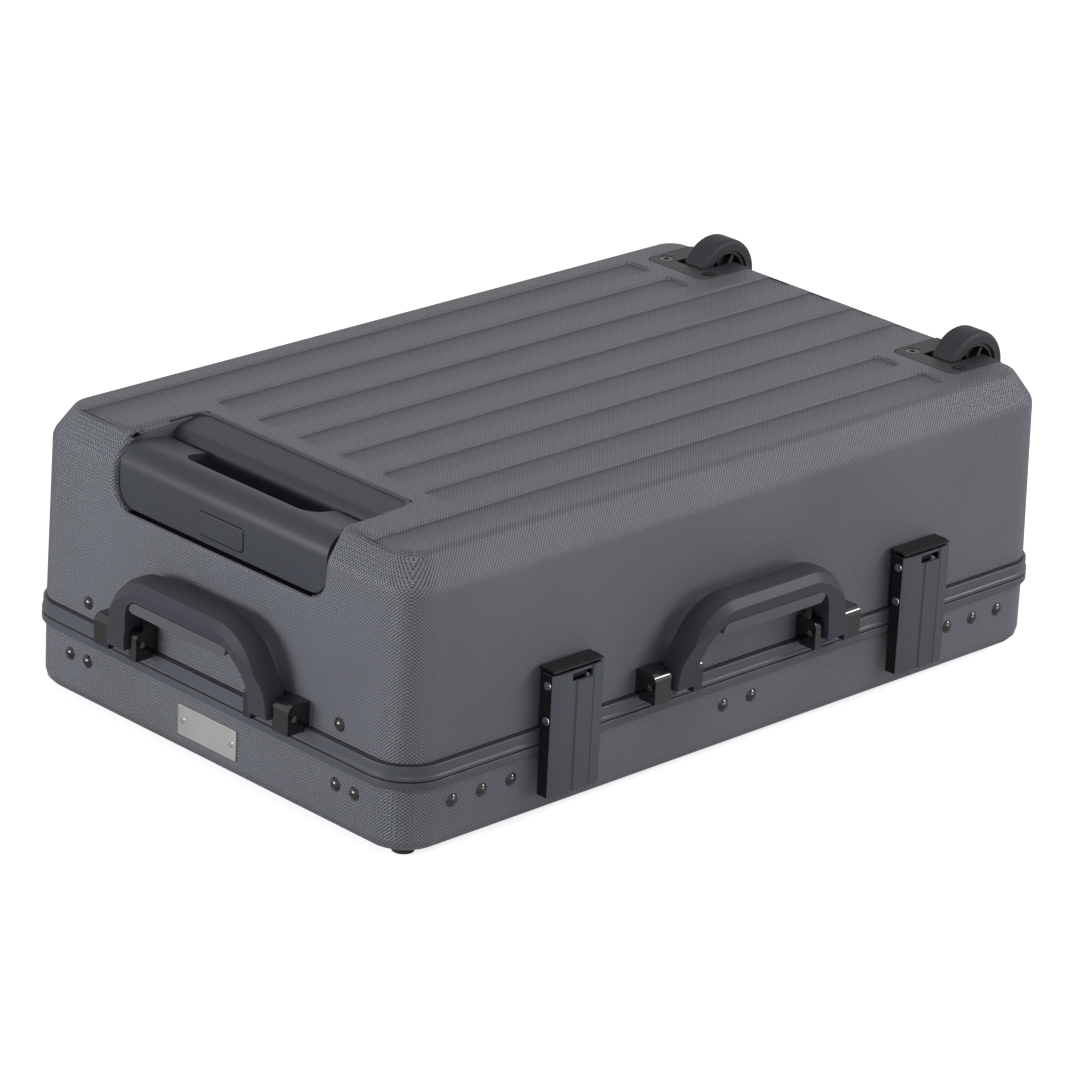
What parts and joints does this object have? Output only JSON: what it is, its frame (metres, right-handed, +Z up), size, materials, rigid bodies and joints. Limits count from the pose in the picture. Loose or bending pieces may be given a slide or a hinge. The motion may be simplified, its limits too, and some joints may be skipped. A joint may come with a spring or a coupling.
{
  "type": "guitar pedal case",
  "caption": "Rectangular hard case on its feet, with a shallow tray, a deep hinged lid, draw latches, fold-down carry handles, a pull-out trolley bar and corner wheels.",
  "frame": {"origin": "middle of the footprint, on the ground under the feet, lid closed and handles folded up", "axes": "+X towards the wheels, -X the trolley end, -Y the latch side, +Z up"},
  "size_m": [0.6735, 0.4361, 0.2335],
  "materials": {
    "shell": "fine woven emboss, satin",
    "frame_band": "smooth satin coat",
    "latch_flap": "smooth satin coat",
    "latch_base": "black coat",
    "seal": "matte",
    "foot": "matte",
    "bare_plate": "brushed",
    "rivet": "dark chrome",
    "steel": "bright zinc",
    "hinge": "dark zinc",
    "handle_grip": "smooth satin",
    "handle_insert": "soft touch",
    "bracket": "gloss black",
    "trolley": "smooth satin",
    "tube": "anodised",
    "clamp": "matte",
    "tyre": "matte",
    "hub": "matte",
    "housing": "fine grain",
    "deck": "bare plywood",
    "loop_cover": "short loop pile",
    "bearer": "mill finish",
    "lid_panel": "matte",
    "foam": "open foam"
  },
  "bodies": {
    "tray": {"tray_shell": "shell", "tray_frame": "frame_band", "tray_seal": "seal", "feet": "foot", "bare_plate": "bare_plate", "plate_screws": "steel", "tray_rivets": "rivet", "hinge_tray_leaves": "hinge", "hinge_pins": "steel", "latch_left_keeper": "steel", "latch_right_keeper": "steel", "deck_panel": "deck", "deck_cover": "loop_cover", "deck_bearers": "bearer"},
    "lid": {"lid_shell": "shell", "lid_frame": "frame_band", "lid_seal": "seal", "lid_rivets": "rivet", "hinge_lid_leaves": "hinge", "latch_left_base": "latch_base", "latch_left_pivots": "steel", "latch_right_base": "latch_base", "latch_right_pivots": "steel", "front_handle_brackets": "bracket", "front_handle_pins": "steel", "end_handle_brackets": "bracket", "end_handle_pins": "steel", "trolley_cup": "trolley", "trolley_outer_tubes": "tube", "trolley_clamps": "clamp", "wheel_left_housing": "housing", "wheel_left_axle": "steel", "wheel_left_screws": "steel", "wheel_right_housing": "housing", "wheel_right_axle": "steel", "wheel_right_screws": "steel", "lid_panel": "lid_panel", "lid_foam": "foam"},
    "left_flap": {"latch_left_flap": "latch_flap", "latch_left_trigger_pin": "steel"},
    "left_trigger": {"latch_left_trigger": "latch_base"},
    "right_flap": {"latch_right_flap": "latch_flap", "latch_right_trigger_pin": "steel"},
    "right_trigger": {"latch_right_trigger": "latch_base"},
    "front_handle": {"front_handle_grip": "handle_grip", "front_handle_insert": "handle_insert"},
    "end_handle": {"end_handle_grip": "handle_grip", "end_handle_insert": "handle_insert"},
    "trolley_stage": {"trolley_middle_tubes": "tube"},
    "trolley_bar": {"trolley_grip": "trolley", "trolley_inner_tubes": "tube"},
    "release_button": {"trolley_button": "trolley"},
    "left_wheel": {"wheel_left_hub": "hub", "wheel_left_tyre": "tyre"},
    "right_wheel": {"wheel_right_hub": "hub", "wheel_right_tyre": "tyre"}
  },
  "joints": [
    {"name": "lid_hinge", "type": "hinge", "parent": "tray", "child": "lid", "pos_m": [0.01125, 0.2147, 0.061], "axis": [-1, 0, 0], "range_deg": [0, 95]},
    {"name": "left_latch", "type": "hinge", "parent": "lid", "child": "left_flap", "pos_m": [-0.16175, -0.1966, 0.1068], "axis": [-1, 0, 0], "range_deg": [0, 90]},
    {"name": "left_latch_trigger", "type": "hinge", "parent": "left_flap", "child": "left_trigger", "pos_m": [-0.16175, -0.1966, 0.081], "axis": [-1, 0, 0], "range_deg": [0, 5], "stiffness_Nm_per_rad": 0.6, "springref_deg": -4.58},
    {"name": "right_latch", "type": "hinge", "parent": "lid", "child": "right_flap", "pos_m": [0.18425, -0.1966, 0.1068], "axis": [-1, 0, 0], "range_deg": [0, 90]},
    {"name": "right_latch_trigger", "type": "hinge", "parent": "right_flap", "child": "right_trigger", "pos_m": [0.18425, -0.1966, 0.081], "axis": [-1, 0, 0], "range_deg": [0, 5], "stiffness_Nm_per_rad": 0.6, "springref_deg": -4.58},
    {"name": "front_handle_fold", "type": "hinge", "parent": "lid", "child": "front_handle", "pos_m": [0.01125, -0.1996, 0.081], "axis": [1, 0, 0], "range_deg": [0, 95]},
    {"name": "end_handle_fold", "type": "hinge", "parent": "lid", "child": "end_handle", "pos_m": [-0.31825, 0.0104, 0.081], "axis": [0, -1, 0], "range_deg": [0, 95]},
    {"name": "trolley_stage_slide", "type": "slide", "parent": "lid", "child": "trolley_stage", "axis": [-1, 0, 0], "range_m": [0, 0.2]},
    {"name": "trolley_bar_slide", "type": "slide", "parent": "trolley_stage", "child": "trolley_bar", "axis": [-1, 0, 0], "range_m": [0, 0.2]},
    {"name": "release_button_press", "type": "slide", "parent": "trolley_bar", "child": "release_button", "axis": [1, 0, 0], "range_m": [0, 0.003], "stiffness_N_per_m": 400, "springref_m": -0.001},
    {"name": "left_wheel_spin", "type": "hinge", "parent": "lid", "child": "left_wheel", "pos_m": [0.30725, -0.1173, 0.204], "axis": [0, 1, 0], "continuous": true},
    {"name": "right_wheel_spin", "type": "hinge", "parent": "lid", "child": "right_wheel", "pos_m": [0.30725, 0.1381, 0.204], "axis": [0, 1, 0], "continuous": true}
  ]
}
